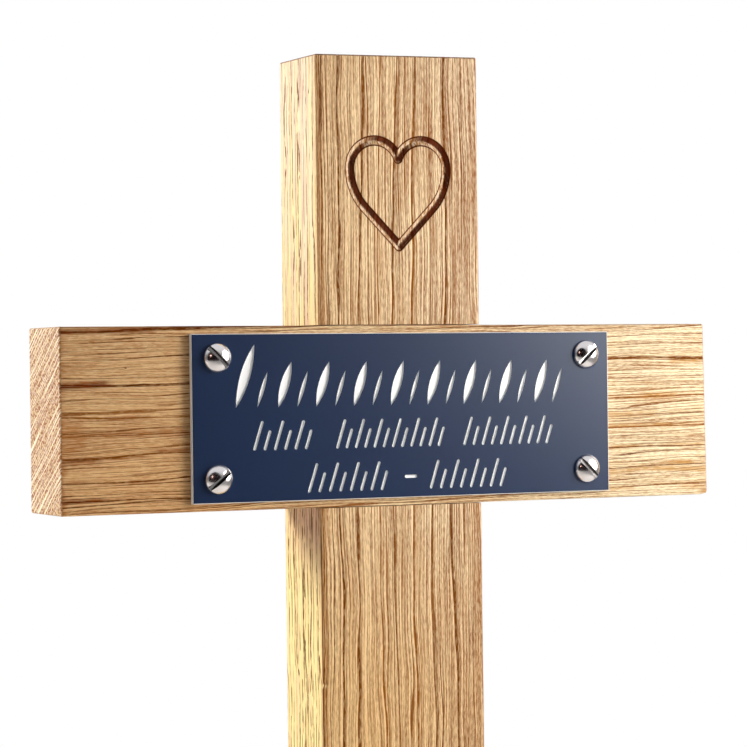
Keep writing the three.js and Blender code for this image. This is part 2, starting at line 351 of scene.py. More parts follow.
def heart_line(x, z):
    """The nearest point to (x, z) on the heart's middle line: a small arc over the lobe, a wide arc down
    the side that meets it smoothly, and a straight to the tip, mirrored about the post's middle."""
    mirror = np.where(x < 0, -1.0, 1.0)
    x = np.abs(x)
    half = HEART_WIDTH / 2
    tip = BAR_TOP + HEART_TIP_ABOVE_CROSSBAR
    lobe_x = half - HEART_LOBE_RADIUS
    lobe_z = tip + HEART_HEIGHT - HEART_LOBE_RADIUS
    sine, cosine = math.sin(HEART_SIDE_ANGLE), math.cos(HEART_SIDE_ANGLE)
    side_radius = ((lobe_z - tip) * cosine - half * sine) / (1 - sine)
    arcs = (
        (lobe_x, HEART_LOBE_RADIUS, 0.0, math.acos(-lobe_x / HEART_LOBE_RADIUS)),
        (half - side_radius, side_radius, HEART_SIDE_ANGLE - math.pi / 2, 0.0),
    )
    found = []
    for centre, radius, start, stop in arcs:
        angle = np.clip(np.arctan2(z - lobe_z, x - centre), start, stop)
        found.append((centre + radius * np.cos(angle), lobe_z + radius * np.sin(angle)))
    end_x = half - side_radius + side_radius * sine
    end_z = lobe_z - side_radius * cosine
    run = math.hypot(end_x, end_z - tip)
    along = np.clip((x * end_x + (z - tip) * (end_z - tip)) / run, 0, run)
    found.append((along * end_x / run, tip + along * (end_z - tip) / run))
    nearest_x, nearest_z = (np.stack(part) for part in zip(*found))
    best = np.argmin(np.hypot(nearest_x - x, nearest_z - z), axis=0)
    pick = np.arange(len(x))
    return mirror * nearest_x[best, pick], nearest_z[best, pick]


def lobe_meeting():
    """The height at which the two lobes' middle lines meet above the heart's middle."""
    lobe_z = BAR_TOP + HEART_TIP_ABOVE_CROSSBAR + HEART_HEIGHT - HEART_LOBE_RADIUS
    return lobe_z + math.sqrt(HEART_LOBE_RADIUS ** 2 - (HEART_WIDTH / 2 - HEART_LOBE_RADIUS) ** 2)


def wood_grain(across, behind, along, stations, rings, tilt):
    """The wood's own fields at each point. Each row of rings says where one ring's dark line meets the
    front at every station along the board, then how strong it is, how far it goes from dark brown to
    orange, and how much darker the wood is there. A ring runs back from its line at the ring tilt. The
    grain field holds the millimetres across the rings, around them and along the fibres."""
    at_front = across - behind / np.tan(tilt)
    number = np.arange(len(rings))
    ring = 0
    for place, near in enumerate(np.eye(len(stations))):
        ring = ring + np.interp(along, stations, near) * np.interp(at_front, rings[:, place], number)
    bold, warm, tone = (np.interp(ring, number, column) for column in rings[:, len(stations):].T)
    grain = np.stack([at_front * np.sin(tilt), across * np.cos(tilt) + behind * np.sin(tilt), along], -1)
    sheet = across + behind / 2
    return {"ring": ring, "bold": bold, "warm": warm, "tone": tone, "grain": grain, "sheet": sheet}


# The post's rings, in millimetres from its left edge at 140 mm, at the crossbar and at the top, then how
# strong, how orange and how dark. Those below 0 show on the left side instead. The front is about 33 degrees
# off the rings' own direction.
POST_RING_TILT = math.radians(33)
POST_STATIONS = (140, (BAR_BOTTOM + BAR_TOP) / 2, POST_TOP)
POST_RINGS = np.array([
    (-42, -42, -42, 0.4, 0.5, 0),
    (-35.5, -35.5, -35.5, 0.4, 0.5, 0),
    (-30, -30, -30, 0.5, 0.6, 0),
    (-23.5, -23.5, -23.5, 0.6, 0.4, 0),
    (-18.5, -18.5, -18.5, 0.5, 0.6, 0),
    (-13, -13, -13, 0.6, 0.4, 0),
    (-8, -8, -8, 0.5, 0.6, 0),
    (-3.6, -3.6, -3, 0.7, 0.4, 0),
    (0.4, 0.6, 1.8, 0.42, 0.2, 0.06),
    (5.8, 5.0, 6.0, 1.0, 0.4, 0),
    (9.7, 10.3, 13.0, 0.9, 0.5, -0.05),
    (16.9, 15.7, 17.3, 0.7, 0.9, 0),
    (20.4, 19.0, 21.5, 0.7, 0.6, 0.05),
    (25.6, 24.7, 26.6, 0.95, 0.8, 0),
    (31, 30, 31, 0.3, 0.5, 0.1),
    (37, 34.2, 34.8, 1.0, 0.45, 0.12),
    (41.5, 39.5, 40, 0.25, 0.5, 0.18),
    (46, 43.5, 45, 0.6, 0.9, 0.18),
    (51, 51, 51, 0.4, 0.5, 0.1),
])
RING_RELIEF = 0.05
HOLLOW_SHARE = 0.06
NICK_HEIGHT = 147.2
NICK_SIZE = 0.55
NICK_REACH = 1.2
NICK_STRETCH = (145.6, 148.6)
NICK_CELL = 0.25
POST_CELLS = (0.45, 0.8, 3.5)
HEART_CELL = 0.28
NOTCH_CELL = 3
NO_EASING_BELOW = -100.0
BOARD_CREASE = math.radians(32)
NO_CUT_NEAR = 9.0
ON_FACE = 0.4

heart_low = BAR_TOP + HEART_TIP_ABOVE_CROSSBAR - GROOVE_WIDTH
heart_high = BAR_TOP + HEART_TIP_ABOVE_CROSSBAR + HEART_HEIGHT + GROOVE_WIDTH
heart_reach = HEART_WIDTH / 2 + GROOVE_WIDTH / 2
notch = (BAR_BOTTOM - JOINT_GAP, BAR_TOP + JOINT_GAP)

points, quads = board_skin(
    planes(-HALF_POST, HALF_POST, POST_CELLS[0], (-heart_reach, heart_reach, HEART_CELL)),
    planes(FRONT, -FRONT, POST_CELLS[1], (JOINT_GAP / 2, JOINT_GAP / 2, 1)),
    planes(
        0, POST_TOP, POST_CELLS[2],
        (heart_low, heart_high, HEART_CELL), (*notch, NOTCH_CELL), (*NICK_STRETCH, NICK_CELL),
        sharp_low=True,
    ),
    lambda x, y, z: (y > JOINT_GAP / 2) | (z < notch[0]) | (z > notch[1]),
)

# Points of the front close to the groove's bottom or rim are drawn on to it, so that both run clean.
flat_front = points[:, 1] < FRONT + 1e-6
nearest = np.stack(heart_line(points[:, 0], points[:, 2]), -1)
offset = points[:, [0, 2]] - nearest
distance = np.linalg.norm(offset, axis=1)
for crease in (0.0, GROOVE_WIDTH / 2):
    close = flat_front & (np.abs(distance - crease) < 0.55 * HEART_CELL)
    scale = np.where(close, crease / np.maximum(distance, 1e-9), 1.0)
    points[:, [0, 2]] = nearest + offset * scale[:, None]
    offset = offset * scale[:, None]
    distance = np.where(close, crease, distance)

along = points[:, 2]
from_left = points[:, 0] + HALF_POST
sway = 0.30 * waves(3, (60, along), (40, from_left)) + 0.12 * waves(4, (28, along), (15, from_left))
behind = points[:, 1] - FRONT
wood = wood_grain(from_left + sway, behind, along, POST_STATIONS, POST_RINGS, POST_RING_TILT)
ring_start = wood["bold"] * np.exp(-np.mod(wood["ring"], 1) / HOLLOW_SHARE)

low = np.array([-HALF_POST, FRONT, NO_EASING_BELOW])
high = np.array([HALF_POST, -FRONT, POST_TOP])
points, outward = eased(points, low, high, EASED_EDGE)
groove = np.where(flat_front, np.clip(1 - distance / (GROOVE_WIDTH / 2), 0, 1), 0.0)
points[:, 1] += GROOVE_DEPTH * groove
points -= outward * (RING_RELIEF * ring_start * (groove == 0))[:, None]
nick = np.exp(-((along - NICK_HEIGHT) / NICK_SIZE) ** 2 - (np.hypot(from_left, behind) / NICK_REACH) ** 2)
points[:, :2] += NICK_SIZE * nick[:, None] * np.array([0.7, 0.7])
up_the_arm = np.clip((along - BAR_TOP) / (POST_TOP - BAR_TOP), 0, 1)
points[:, 2] += TOP_LEAN * points[:, 0] / POST_WIDTH * up_the_arm

# Where the post's wood differs: pale sapwood at its left and behind, browned arrises and cut, with painted
# # shade on the cut's wall turned from the key light, a painted shadow with some stain under the joint, a
# # golden band beside the left arris, and fresh wood in the nick.
# Painted shade: the cut's walls that turn this way, away from the key light, are browned and painted dark as
# their shade, and the walls turned the other way are left pale as lit walls.
SHADED_WAY = np.array([0.94, 0.34])
wood["end"] = np.abs(outward[:, 2])
facing_back = np.clip(outward[:, 1], 0, 1)
wood["sap"] = np.clip((behind / math.tan(POST_RING_TILT) - from_left) / 3, 0, 1) * (1 - 0.6 * facing_back)
wood["cut"] = np.where(flat_front, distance, NO_CUT_NEAR)
turned_away = (offset @ SHADED_WAY) / np.maximum(distance, 1e-9)
below_bar = np.clip((BAR_BOTTOM - along) / 25, 0, 1)
on_left_arris = np.where((from_left < 1) & (behind < 1), 4 * (outward[:, 0] * outward[:, 1]) ** 2, 0)
beside_arris = np.where(behind < ON_FACE, np.exp(-((from_left - 0.9) / 0.6) ** 2), 0)
on_top_arris = 4 * outward[:, 2] ** 2 * (1 - outward[:, 2] ** 2)
on_right_arris = np.where(from_left > HALF_POST, 4 * (outward[:, 0] * outward[:, 1]) ** 2, 0)
left_brown = on_left_arris * (0.08 + 0.62 * below_bar)
arris = np.maximum(left_brown, np.maximum(0.85 * on_top_arris, 0.4 * on_right_arris))
# The cut's browning is partly real and partly painted shade: darkest on the walls turned from the key light,
# lightest on the lit walls, and full in a painted dark spot, burn and shade, where the lobes meet.
cleft = lobe_meeting()
at_cleft = np.exp(-(np.hypot(points[:, 0], along - cleft) / 1.0) ** 4)
burnt_and_painted_shade = np.maximum(np.clip(0.46 + 1.3 * turned_away, 0.08, 1), at_cleft)
wood["browned_and_shaded"] = np.where(groove > 0, burnt_and_painted_shade, arris)
# Painted shadow with some real stain: the post's left side is darkened to mauve under the crossbar's arm,
# most near the front and fading down the side.
shadow_and_stain_under_joint = 0.62 * np.exp(-((BAR_BOTTOM - along) / 15) ** 2) * np.clip(1.3 - behind / 28, 0, 1)
on_left_below = (from_left < 0.3) & (along < BAR_BOTTOM)
by_arris = (0.75 + 0.15 * below_bar) * np.maximum(beside_arris, on_left_arris)
wood["stain_and_painted_shadow"] = np.maximum(np.where(on_left_below, shadow_and_stain_under_joint, 0), np.maximum(0.08 * below_bar, by_arris))
fresh = np.exp(-((along - NICK_HEIGHT + 0.3) / 0.5) ** 2 - (np.hypot(from_left, behind) / 1.1) ** 2)
for field in ("browned_and_shaded", "stain_and_painted_shadow"):
    wood[field] = wood[field] * (1 - fresh)
wood["tone"] = wood["tone"] - 0.6 * fresh - 0.08 * below_bar * (1 - from_left / POST_WIDTH)
far_below_bar = np.clip((BAR_BOTTOM - along) / 50, 0, 1)
wood["honeyed"] = np.clip(0.62 - 0.5 * from_left / POST_WIDTH + 0.5 * far_below_bar, 0, 1)


# The oak's colours, the same for both boards: pore lines, sapwood and its lines from below the crossbar to
# # above it, a mauve for browns in the sapwood that also paints the shadow under the crossbar, sawn ends
# with
# # their rays, whose cream also paints glints in the cut, and what the cutter has browned, with painted
# shade
# # on the cut's wall turned from the light.
PORE_BROWNS = ("4c1e06", "94581c")
SAPWOODS = ("ffecaa", "fbe7ce")
SAPWOOD_LINES = ("5c3c14", "6c3c30")
SAPWOOD_BROWN_AND_SHADOW = "cc8894"
SAWN_ENDS = ("cab08c", "c0a492")
RAY_AND_GLINT_CREAM = "fdf2dc"
SCORCH_AND_SHADE_BROWNS = ("6c2810", "4a190b")
SMOKED_WALL = "94622e"
CUT_RIM = "4e1c08"
SAPWOOD_TURNS = (190.0, 240.0)

# Its patterns in millimetres. A family of pore lines has a spacing, a wandering and a length, then its
# thickness as a share of the spacing and its darkness; fibre streaks have a width, a length, a softness and
# a strength; rays on the sawn ends have a width, how rare they are and how pale.
PORE_LINES = ((2.1, 1.3, 50, 0.18, 0.92), (0.82, 1.0, 34, 0.35, 0.70))
FIBRE_STREAKS = ((0.7, 60, 0.12, 0.18), (0.25, 30, 0.08, 0.50), (0.20, 1.6, 0.08, 0.36))
RAYS = ((0.44, 0.64, 0.8), (0.32, 0.65, 0.7))
RAY_LENGTH = 40
NO_CHANGE_ALONG = 400
PORE_DEPTH = 0.06 * MM


def oak(name, pale_pair, tan_pair, golden_pair):
    """Planed oak under a clear satin finish: long fibre streaks, open pores as fine dark lines with golden
    fringes, a dark porous start to each growth ring behind a pale hard edge, and pale rays that show on sawn
    ends. Each pair of colours runs from cream wood to honey-coloured wood, a slow drift over the board. The
    cutter has left the rim of its cut brown. The cut's wall turned from the key light is browned and painted
    darker as its shade, and its lit wall gets painted pale glints as highlights. The pores are drawn about
    twice as wide as real ones, so that they show."""
    material, tree = new_material(name)
    add = partial(add_node, tree)
    grain = add("Attribute", output="Vector", attribute_name="grain")
    fields = ("ring", "bold", "warm", "tone", "honeyed", "sheet", "end", "sap", "cut", "browned_and_shaded", "stain_and_painted_shadow")
    ring, bold, warm, tone, honeyed, sheet, end, sap, cut, browned_and_shaded, stain_and_painted_shadow = (
        add("Attribute", output="Fac", attribute_name=field) for field in fields
    )

    def spots(width, length, detail=1.5, across_rings=None):
        """Noise whose spots are so many millimetres wide and so long along the fibres."""
        scale = (1 / (across_rings or width), 1 / width, 1 / length)
        sized = add("Mapping", {"Vector": grain, "Scale": scale})
        return add("TexNoise", {"Vector": sized, "Scale": 1.0, "Detail": detail})

    def patches(width, length, edges, levels=(0.0, 1.0), detail=1.5):
        """Such spots with firmer edges: the first level where the noise is below the first edge, the second
        level where it is above the second."""
        noise = spots(width, length, detail)
        return add("MapRange", (noise, *edges, *levels), interpolation_type="SMOOTHSTEP")

    # Growth rings: a dark hollow line starts each, fades in and out along it, and pale hard wood ends it.
    wavering = add("Math", (spots(5, 26), 0.10, ring), operation="MULTIPLY_ADD")
    into_ring = add("Math", (wavering,), operation="FRACT")
    fades = (
        patches(4, 30, (0.36, 0.56), (0.55, 1.0), detail=2.0),
        patches(1.0, 7, (0.36, 0.56), (0.6, 1.0), detail=2.0),
        add("MapRange", (sap, 0.0, 1.0, 1.0, 0.4), interpolation_type="SMOOTHSTEP"),
    )
    strength = bold
    for fade in fades:
        strength = add("Math", (strength, fade), operation="MULTIPLY")
    line_edge = add("Math", (strength, 0.20, 0.004), operation="MULTIPLY_ADD")
    line_core = add("Math", (line_edge, 0.6), operation="MULTIPLY")
    hollow = add("MapRange", (into_ring, line_core, line_edge, 1.0, 0.0), interpolation_type="SMOOTHSTEP")
    late_wood = add("MapRange", (into_ring, 0.88, 0.96), interpolation_type="SMOOTHSTEP")
    hard_edge = add("Math", (late_wood, strength), operation="MULTIPLY")
    early_wood = add("MapRange", (into_ring, 0.0, 0.40, 1.0, 0.0), interpolation_type="SMOOTHSTEP")
    porous = add("Math", (early_wood, strength), operation="MULTIPLY")

    # Pore lines between the rings, broken into dashes in the sapwood, each with a golden fringe beside it.
    heartwood = add("Math", (1.0, sap), operation="SUBTRACT")
    dashed = patches(0.7, 5, (0.36, 0.50), (heartwood, 1.0))
    height = add("SeparateXYZ", (grain,), output="Z")
    above_bar = add("MapRange", (height, *SAPWOOD_TURNS), interpolation_type="SMOOTHSTEP")
    dash_width = add("MapRange", (above_bar, 0.0, 1.0, 1.3, 0.8), interpolation_type="SMOOTHSTEP")
    widened = add("MapRange", (sap, 0.0, 1.0, 1.0, dash_width), interpolation_type="SMOOTHSTEP")
    fringe = 0.0
    for spacing, wander, length, thickness, darkness in PORE_LINES:
        count = add("Math", (sheet, 1 / spacing), operation="MULTIPLY")
        phase = add("Math", (spots(1.2 * spacing, 70), wander, count), operation="MULTIPLY_ADD")
        into_line = add("Math", (phase,), operation="FRACT")
        presence = add("Math", (sap, 0.10, spots(1.3 * spacing, length)), operation="MULTIPLY_ADD")
        coming = add("MapRange", (presence, 0.41, 0.61, 0.05, 1.0), interpolation_type="SMOOTHSTEP")
        coming = add("Math", (coming, dashed), operation="MULTIPLY")
        edge = add("Math", (coming, thickness), operation="MULTIPLY")
        edge = add("Math", (edge, widened), operation="MULTIPLY")
        core = add("Math", (edge, 0.6), operation="MULTIPLY")
        dark = add("MapRange", (into_line, core, edge, darkness, 0.0), interpolation_type="SMOOTHSTEP")
        hollow = add("Math", (hollow, dark), operation="MAXIMUM")
        fringe_end = add("Math", (edge, 3.0), operation="MULTIPLY")
        beside = add("MapRange", (
            into_line, edge, fringe_end, 0.5 * darkness, 0.0,
        ), interpolation_type="SMOOTHSTEP")
        fringe = add("Math", (fringe, beside), operation="MAXIMUM")
        pale = add("MapRange", (
            into_line, 1 - thickness, 1.0, 0.0, darkness,
        ), interpolation_type="SMOOTHSTEP")
        pale = add("Math", (pale, coming), operation="MULTIPLY")
        hard_edge = add("Math", (hard_edge, pale), operation="MAXIMUM")
    dotted = patches(0.5, 1.8, (0.36, 0.54), (0.72, 1.0))
    hollow = add("Math", (hollow, dotted), operation="MULTIPLY")

    # The wood's body: fibre streaks from pale to tan, sapwood, and brown blotches, fringes and stains.
    shade = add("Math", (tone, 0.40), operation="ADD")
    for width, length, softness, weight in FIBRE_STREAKS:
        streak = patches(width, length, (0.5 - softness, 0.5 + softness), (-weight / 2, weight / 2))
        shade = add("Math", (streak, shade), operation="ADD")
    shade = add("Math", (hard_edge, -0.45, shade), operation="MULTIPLY_ADD")
    shade = add("Math", (shade, 1.0), operation="MINIMUM")
    shade = add("Math", (shade, 0.0), operation="MAXIMUM")
    pale, tan, golden = (
        add("Mix", (honeyed, linear(cream), linear(honey)), data_type="RGBA")
        for cream, honey in (pale_pair, tan_pair, golden_pair)
    )
    body = add("Mix", (shade, pale, tan), data_type="RGBA")
    pinkness = add("Math", (height, 0.004, spots(1.3, 30)), operation="MULTIPLY_ADD")
    pinkness = add("MapRange", (pinkness, 1.35, 1.70), interpolation_type="SMOOTHSTEP")
    sapwood = add("Mix", (pinkness, *map(linear, SAPWOODS)), data_type="RGBA")
    sap_share = add("Math", (sap, 0.75), operation="MULTIPLY")
    body = add("Mix", (sap_share, body, sapwood), data_type="RGBA")
    blotch = patches(2.6, 16, (0.56, 0.68), (0.0, 0.22), detail=0.5)
    warm_share = add("Math", (warm, 0.75), operation="MULTIPLY")
    brown_share = add("Math", (porous, warm_share, blotch), operation="MULTIPLY_ADD")
    fringed = add("Math", (patches(3, 25, (0.40, 0.60)), sap), operation="SUBTRACT")
    fringe = add("Math", (fringe, fringed), operation="MULTIPLY")
    fringe = add("Math", (stain_and_painted_shadow, fringe), operation="MAXIMUM")
    brown_share = add("Math", (brown_share, fringe), operation="MAXIMUM")
    flecked = patches(0.34, 3, (0.40, 0.58), (0.6, 1.0))
    brown_share = add("Math", (brown_share, flecked), operation="MULTIPLY")
    # On sapwood the browns turn mauve, which also paints the shadow under the crossbar's arm.
    browns = add("Mix", (sap, golden, linear(SAPWOOD_BROWN_AND_SHADOW)), data_type="RGBA")
    body = add("Mix", (brown_share, body, browns), data_type="RGBA")

    # The dark lines over it, from dark brown to orange in the heartwood.
    less_brown = add("Math", (warm, 0.45), operation="SUBTRACT")
    hue = add("Math", (spots(6, 30), 0.8, less_brown), operation="MULTIPLY_ADD")
    lines = add("Mix", (hue, *map(linear, PORE_BROWNS)), data_type="RGBA")
    sap_lines = add("Mix", (above_bar, *map(linear, SAPWOOD_LINES)), data_type="RGBA")
    lines = add("Mix", (sap, lines, sap_lines), data_type="RGBA")
    off_end = add("Math", (1.0, end), operation="SUBTRACT")
    line_share = add("Math", (hollow, off_end), operation="MULTIPLY")
    body = add("Mix", (line_share, body, lines), data_type="RGBA")

    # Sawn ends: the pores are cut across as dots, and rays run across the rings.
    end_tint = patches(1.2, NO_CHANGE_ALONG, (0.42, 0.58))
    end_body = add("Mix", (end_tint, *map(linear, SAWN_ENDS)), data_type="RGBA")
    dots = add("Math", (porous, 0.08, spots(0.6, NO_CHANGE_ALONG, 0.5)), operation="MULTIPLY_ADD")
    dots = add("MapRange", (dots, 0.50, 0.55, 0.0, 0.9), interpolation_type="SMOOTHSTEP")
    end_body = add("Mix", (dots, end_body, tan), data_type="RGBA")
    for width, rare, paleness in RAYS:
        rays = spots(width, NO_CHANGE_ALONG, 0.0, across_rings=RAY_LENGTH)
        rays = add("MapRange", (rays, rare, rare + 0.05, 0.0, paleness), interpolation_type="SMOOTHSTEP")
        end_body = add("Mix", (rays, end_body, linear(RAY_AND_GLINT_CREAM)), data_type="RGBA")
    body = add("Mix", (end, body, end_body), data_type="RGBA")

    # What the cutter and the saw have browned: arrises, the cut's shaded wall, which is also painted dark as
    # # its shade, its lit wall with painted glints, and its rim.
    scorch_and_shade = patches(1.6, 5, (0.36, 0.64))
    scorch_and_shade = add("Mix", (scorch_and_shade, *map(linear, SCORCH_AND_SHADE_BROWNS)), data_type="RGBA")
    browned_and_shaded_share = add("Math", (browned_and_shaded, 0.95), operation="MULTIPLY")
    body = add("Mix", (browned_and_shaded_share, body, scorch_and_shade), data_type="RGBA")
    lit_wall = add("MapRange", (browned_and_shaded, 0.4, 0.6, 1.0, 0.0), interpolation_type="SMOOTHSTEP")
    in_cut = add("MapRange", (cut, 1.0, 1.2, 1.0, 0.0), interpolation_type="SMOOTHSTEP")
    smoked = patches(0.7, 2.2, (0.40, 0.60), (0.15, 0.75))
    smoked = add("Math", (smoked, in_cut), operation="MULTIPLY")
    smoked = add("Math", (smoked, lit_wall), operation="MULTIPLY")
    body = add("Mix", (smoked, body, linear(SMOKED_WALL)), data_type="RGBA")
    from_rim = add("Math", (cut, GROOVE_WIDTH / 2 - 0.13), operation="SUBTRACT")
    from_rim = add("Math", (from_rim,), operation="ABSOLUTE")
    rim = add("MapRange", (from_rim, 0.10, 0.28, 0.95, 0.0), interpolation_type="SMOOTHSTEP")
    body = add("Mix", (rim, body, linear(CUT_RIM)), data_type="RGBA")
    # Painted glints: pale flecks on the cut's lit wall, standing in for highlights off the finish.
    deep = add("MapRange", (cut, 0.75, 1.0, 0.45, 0.0), interpolation_type="SMOOTHSTEP")
    deep = add("Math", (deep, lit_wall), operation="MULTIPLY")
    painted_glint = add("Math", (patches(0.45, 1.1, (0.50, 0.56)), deep), operation="MULTIPLY")
    body = add("Mix", (painted_glint, body, linear(RAY_AND_GLINT_CREAM)), data_type="RGBA")

    # The finish is satin, and dull where it has sunk into pores or on to browned wood.
    sunken = add("Bump", {"Height": hollow, "Strength": 0.6, "Distance": PORE_DEPTH}, invert=True)
    dull = add("Math", (rim, browned_and_shaded), operation="MAXIMUM")
    dull = add("Math", (hollow, dull), operation="MAXIMUM")
    rough = add("MapRange", (dull, 0.0, 1.0, 0.38, 0.60), interpolation_type="SMOOTHSTEP")
    gloss = add("MapRange", (dull, 0.0, 1.0, 0.18, 0.02), interpolation_type="SMOOTHSTEP")
    surface = add("BsdfPrincipled", {
        "Base Color": body, "Roughness": rough, "IOR": 1.38, "Specular IOR Level": gloss, "Normal": sunken,
    })
    add("OutputMaterial", {"Surface": surface})
    return material


post_oak = oak(
    "planed_oak_of_the_post",
    pale_pair=("f4e0be", "fad79f"),
    tan_pair=("8a5630", "8a5226"),
    golden_pair=("b0763a", "b07028"),
)
post = mesh_object("oak_post", points * MM, quads, post_oak, **wood)
post.data.shade_smooth()
post.data.set_sharp_from_angle(angle=BOARD_CREASE)
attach(post, "root")
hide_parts("upright_post")


# Crossbar: the same planed oak section laid level, notched behind to halve into the post and flush
# with its front. Its right-hand end is sawn slightly out of square and has one knocked corner. Its rings
# are listed from its bottom edge near the left end and near the right, and rise to the right.
BAR_LENGTH = 176.0
END_LEAN = 0.7
KNOCKED_CORNER = 1.6
HALF_BAR = BAR_LENGTH / 2
CLOSE_JOINT_EDGE = 0.12
BAR_RING_TILT = math.radians(34)
BAR_RISE = 0.03
BAR_CELLS = (1.4, 0.7, 0.32)
LEFT_END_STRETCH = 4
LEFT_END_CELL = 0.3
BAR_STATIONS = (-75, 72)
BAR_RINGS = np.array([
    (-42, -37, 0.33, 0.5, 0),
    (-36, -31, 0.33, 0.4, 0),
    (-29, -24, 0.39, 0.6, 0),
    (-22.5, -17.5, 0.33, 0.4, 0),
    (-17, -12, 0.39, 0.5, 0),
    (-11.5, -6.5, 0.33, 0.6, 0),
    (-6.3, -1.5, 0.39, 0.4, 0),
    (-1.5, 3.0, 0.39, 0.6, 0),
    (3.2, 8.0, 0.52, 0.3, 0),
    (7.5, 13, 0.39, 0.4, 0),
    (13.5, 18.2, 0.52, 0.6, 0),
    (18.5, 21.2, 0.39, 0.5, 0),
    (22.5, 25.7, 0.45, 0.8, 0),
    (30.5, 35.5, 0.59, 0.3, 0.05),
    (36.5, 41.5, 0.23, 0.5, 0),
    (42.7, 47.5, 0.59, 0.3, 0.1),
    (52, 57, 0.33, 0.5, 0),
])

# Brown streaks in the front of the wood: where each starts and stops along the bar, its height above the
# bottom edge at both, its half thickness, its strength, and how far it goes from golden to red brown.
BAR_STAINS = (
    (-88, -66, 42.6, 43.2, 0.75, 0.9, 0.6),
    (-88, -77, 30.0, 30.6, 0.95, 1.0, 0.7),
    (-88, -83, 18.0, 18.0, 5.50, 0.8, 0.2),
    (-75, -67, 22.4, 22.7, 0.50, 0.9, 0.3),
    (-87, -57, 18.2, 19.2, 1.10, 0.8, 0.25),
    (-63, -56, 14.6, 14.9, 0.45, 0.9, 0.5),
    (-87, -79, 12.4, 12.8, 0.90, 0.9, 0.4),
    (-75, -67, 13.0, 13.5, 0.45, 0.9, 0.3),
    (-86, -82, 7.4, 7.6, 0.55, 0.8, 0.35),
    (-70, -66, 7.5, 7.6, 0.45, 0.9, 0.2),
    (-87, -78, 3.2, 3.6, 0.60, 0.9, 0.55),
    (60, 72, 35.2, 35.4, 0.55, 0.6, 0.1),
    (79, 87, 34.6, 34.9, 0.75, 1.0, 0),
    (69, 78, 25.7, 25.9, 0.80, 0.9, 0),
    (59, 72, 20.9, 21.2, 0.90, 0.6, 0),
    (59, 76, 18.1, 18.3, 0.55, 0.8, 0.1),
    (78, 86, 18.1, 18.1, 0.45, 0.6, 0),
    (59, 67, 12.6, 13.0, 0.55, 0.7, 0),
    (76, 87, 13.0, 13.0, 0.45, 0.6, 0),
    (76, 83, 8.4, 8.5, 0.65, 0.9, 0.1),
    (59, 68, 6.4, 7.4, 0.75, 0.7, 0),
    (68, 87, 7.4, 6.6, 0.75, 0.8, 0),
    (59, 65, 2.3, 2.3, 0.55, 0.6, 0),
    (81, 86, 2.2, 2.2, 0.65, 0.6, 0),
    (87, 87.4, 0.9, 0.9, 0.6, 1.0, 0.3),
)

housing = HALF_POST + JOINT_GAP
points, quads = board_skin(
    planes(
        -HALF_BAR, HALF_BAR, BAR_CELLS[0],
        (-housing, housing, BAR_CELLS[0]),
        (-HALF_BAR + EASED_EDGE, LEFT_END_STRETCH - HALF_BAR, LEFT_END_CELL),
    ),
    planes(FRONT, -FRONT, BAR_CELLS[1], (-JOINT_GAP / 2, -JOINT_GAP / 2, 1)),
    planes(BAR_BOTTOM, BAR_TOP, BAR_CELLS[2]),
    lambda x, y, z: (y < -JOINT_GAP / 2) | (np.abs(x) > housing),
)
along = points[:, 0]
from_bottom = points[:, 2] - BAR_BOTTOM
behind = points[:, 1] - FRONT
sway = 0.30 * waves(7, (80, along), (30, from_bottom)) + 0.10 * waves(8, (34, along), (12, from_bottom))
wood = wood_grain(from_bottom + sway, behind, along, BAR_STATIONS, BAR_RINGS, BAR_RING_TILT)
wood["sheet"] -= BAR_RISE * along
ring_start = wood["bold"] * np.exp(-np.mod(wood["ring"], 1) / HOLLOW_SHARE)
low = np.array([-HALF_BAR, FRONT, BAR_BOTTOM])
high = np.array([HALF_BAR, -FRONT, BAR_TOP])
beside_post = np.clip((np.abs(along) - HALF_POST) / 1.5, 0, 1)[:, None]
points, outward = eased(points, low, high, CLOSE_JOINT_EDGE + (EASED_EDGE - CLOSE_JOINT_EDGE) * beside_post)
points -= outward * (RING_RELIEF * ring_start)[:, None]
corner = np.array([HALF_BAR - KNOCKED_CORNER, BAR_BOTTOM + KNOCKED_CORNER])
past = np.maximum((points[:, [0, 2]] - corner) * np.array([1, -1]), 0)
too_far = np.minimum(1, KNOCKED_CORNER / np.maximum(np.linalg.norm(past, axis=1), 1e-9))
points[:, [0, 2]] -= past * (1 - too_far)[:, None] * np.array([1, -1])
towards_end = np.clip((along - HALF_POST) / (HALF_BAR - HALF_POST), 0, 1)
points[:, 0] -= END_LEAN * from_bottom / POST_WIDTH * towards_end

# Where the crossbar's wood differs: the left arm is browner and the right one paler, more so in front, the
# left end is torn and dark along its edge, and the streaks above lie in the front face.
wood["end"] = np.abs(outward[:, 0])
wood["sap"] = np.zeros(len(points))
wood["cut"] = np.full(len(points), NO_CUT_NEAR)
torn = np.maximum(1.7 + 0.7 * waves(9, (2.4, from_bottom)) + 0.8 * waves(10, (7, from_bottom)), 0.6)
ragged = np.where(behind < ON_FACE, np.exp(-((along + HALF_BAR) / torn) ** 2), 0)
front_share = 1 - 0.7 * np.clip(behind / BOARD_THICKNESS, 0, 1)
left_arm = np.clip((-along - HALF_POST) / 30, 0, 1) * front_share
wood["tone"] = wood["tone"] - left_arm * (0.24 - 0.08 * from_bottom / POST_WIDTH)
right_arm = np.clip((along - HALF_POST) / 30, 0, 1) * front_share
wood["honeyed"] = 0.45 - 0.45 * right_arm + left_arm * (0.45 - 0.35 * from_bottom / POST_WIDTH)
away = np.maximum(outward[:, 2], outward[:, 0])
arris = np.where(away > 0, 4 * (away * outward[:, 1]) ** 2, 0)
wood["browned_and_shaded"] = np.maximum(0.12 * ragged, 0.5 * arris)
wood["stain_and_painted_shadow"] = np.maximum(0.49 * left_arm, 0.95 * ragged * np.clip((30 - from_bottom) / 8, 0.8, 1))
